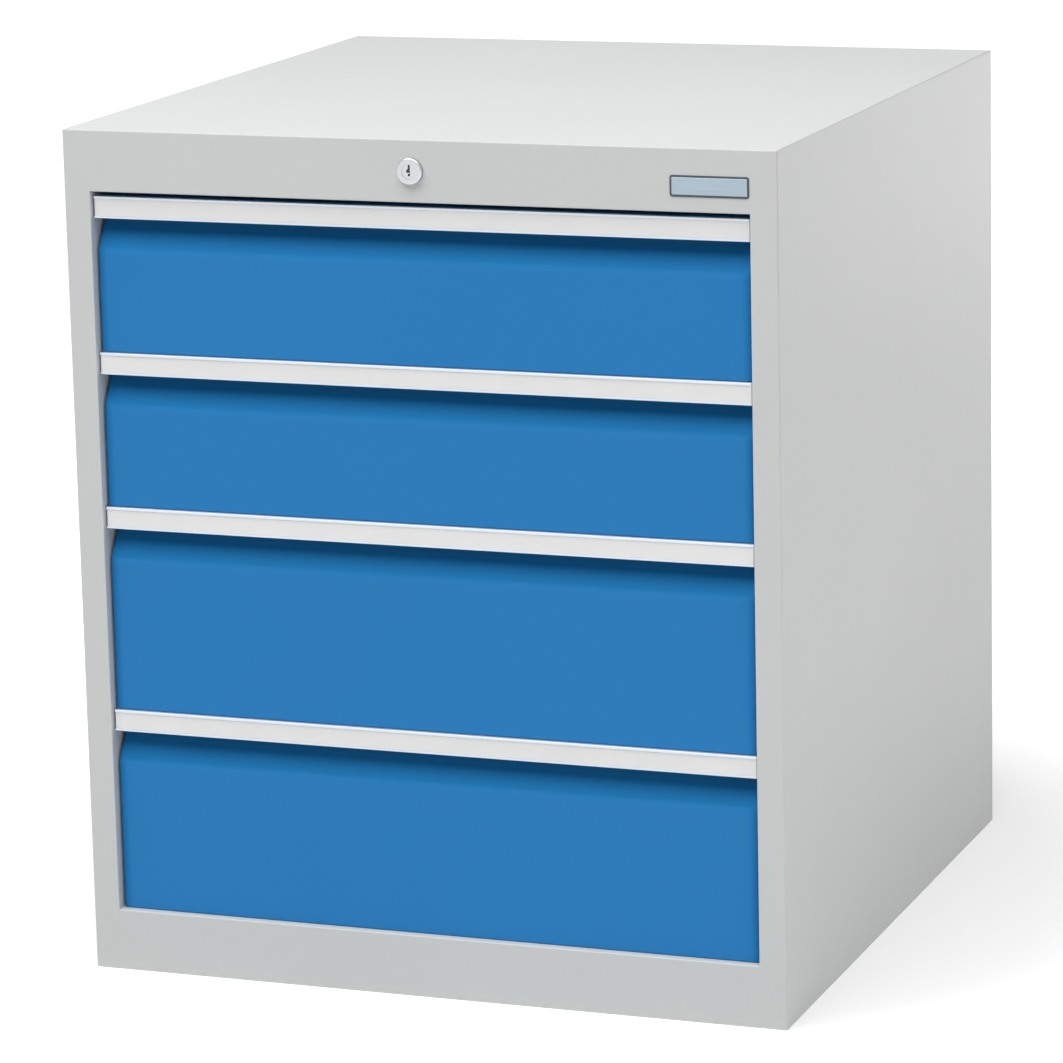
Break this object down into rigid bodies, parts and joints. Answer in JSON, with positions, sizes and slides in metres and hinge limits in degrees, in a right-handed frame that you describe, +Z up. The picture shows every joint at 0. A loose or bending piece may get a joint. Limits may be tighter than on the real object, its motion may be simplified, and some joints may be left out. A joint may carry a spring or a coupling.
{
  "type": "workbench drawer cabinet",
  "caption": "Free-standing steel cabinet with full-width drawers, aluminium handle strips with label channels, and a cylinder lock that bars all drawers.",
  "frame": {"origin": "middle of the bounding box, on the floor", "axes": "+X right seen from the front, +Y from the front to the rear, +Z up"},
  "size_m": [0.705, 0.741, 0.823],
  "materials": {
    "carcass_paint": "fine-textured light grey powder coat",
    "front_paint": "smooth satin blue powder coat",
    "handle": "satin anodised extrusion",
    "label": "blank off-white label strip",
    "zinc": "bright zinc plated sheet",
    "tray_zinc": "galvanised sheet",
    "steel": "plain bright steel",
    "chrome": "satin nickel plating",
    "badge": "bare satin plate"
  },
  "bodies": {
    "cabinet": {"left_side_panel": "carcass_paint", "left_front_upright": "zinc", "left_rear_upright": "zinc", "right_side_panel": "carcass_paint", "right_front_upright": "zinc", "right_rear_upright": "zinc", "rear_panel": "carcass_paint", "top_panel": "carcass_paint", "base_panel": "carcass_paint", "front_bottom_rail": "carcass_paint", "front_top_rail": "carcass_paint", "badge": "badge", "drawer_1_left_cabinet_member": "zinc", "drawer_1_right_cabinet_member": "zinc", "drawer_2_left_cabinet_member": "zinc", "drawer_2_right_cabinet_member": "zinc", "drawer_3_left_cabinet_member": "zinc", "drawer_3_right_cabinet_member": "zinc", "drawer_4_left_cabinet_member": "zinc", "drawer_4_right_cabinet_member": "zinc", "runner_screws": "steel", "lock_housing": "chrome", "lock_nut": "steel", "lock_shaft_bearing": "zinc", "lock_mast": "zinc"},
    "drawer_1_carriage": {"drawer_1_middle_members": "zinc", "drawer_1_ball_cages": "steel"},
    "drawer_1": {"drawer_1_tray": "tray_zinc", "drawer_1_front": "front_paint", "drawer_1_handle": "handle", "drawer_1_label": "label", "drawer_1_drawer_members": "zinc"},
    "drawer_2_carriage": {"drawer_2_middle_members": "zinc", "drawer_2_ball_cages": "steel"},
    "drawer_2": {"drawer_2_tray": "tray_zinc", "drawer_2_front": "front_paint", "drawer_2_handle": "handle", "drawer_2_label": "label", "drawer_2_drawer_members": "zinc"},
    "drawer_3_carriage": {"drawer_3_middle_members": "zinc", "drawer_3_ball_cages": "steel"},
    "drawer_3": {"drawer_3_tray": "tray_zinc", "drawer_3_front": "front_paint", "drawer_3_handle": "handle", "drawer_3_label": "label", "drawer_3_drawer_members": "zinc"},
    "drawer_4_carriage": {"drawer_4_middle_members": "zinc", "drawer_4_ball_cages": "steel"},
    "drawer_4": {"drawer_4_tray": "tray_zinc", "drawer_4_front": "front_paint", "drawer_4_handle": "handle", "drawer_4_label": "label", "drawer_4_drawer_members": "zinc"},
    "lock": {"lock_plug": "chrome", "lock_shaft": "steel", "lock_crank": "steel"},
    "lock_bar": {"lock_bar": "zinc"}
  },
  "joints": [
    {"name": "drawer_1_slide", "type": "slide", "parent": "cabinet", "child": "drawer_1", "axis": [0, -1, 0], "range_m": [0, 0.6]},
    {"name": "drawer_1_carriage_slide", "type": "slide", "parent": "cabinet", "child": "drawer_1_carriage", "axis": [0, -1, 0], "range_m": [0, 0.3]},
    {"name": "drawer_2_slide", "type": "slide", "parent": "cabinet", "child": "drawer_2", "axis": [0, -1, 0], "range_m": [0, 0.6]},
    {"name": "drawer_2_carriage_slide", "type": "slide", "parent": "cabinet", "child": "drawer_2_carriage", "axis": [0, -1, 0], "range_m": [0, 0.3]},
    {"name": "drawer_3_slide", "type": "slide", "parent": "cabinet", "child": "drawer_3", "axis": [0, -1, 0], "range_m": [0, 0.6]},
    {"name": "drawer_3_carriage_slide", "type": "slide", "parent": "cabinet", "child": "drawer_3_carriage", "axis": [0, -1, 0], "range_m": [0, 0.3]},
    {"name": "drawer_4_slide", "type": "slide", "parent": "cabinet", "child": "drawer_4", "axis": [0, -1, 0], "range_m": [0, 0.6]},
    {"name": "drawer_4_carriage_slide", "type": "slide", "parent": "cabinet", "child": "drawer_4_carriage", "axis": [0, -1, 0], "range_m": [0, 0.3]},
    {"name": "lock_turn", "type": "hinge", "parent": "cabinet", "child": "lock", "pos_m": [0, -0.3655, 0.794], "axis": [0, 1, 0], "range_deg": [0, 90]},
    {"name": "lock_bar_lift", "type": "slide", "parent": "cabinet", "child": "lock_bar", "axis": [0, 0, 1], "range_m": [0, 0.0142]}
  ],
  "couplings": [
    {"joint": "drawer_1_carriage_slide", "follows": "drawer_1_slide", "ratio": 0.5},
    {"joint": "drawer_2_carriage_slide", "follows": "drawer_2_slide", "ratio": 0.5},
    {"joint": "drawer_3_carriage_slide", "follows": "drawer_3_slide", "ratio": 0.5},
    {"joint": "drawer_4_carriage_slide", "follows": "drawer_4_slide", "ratio": 0.5},
    {"joint": "lock_bar_lift", "follows": "lock_turn", "m_per_rad": 0.0090032}
  ]
}
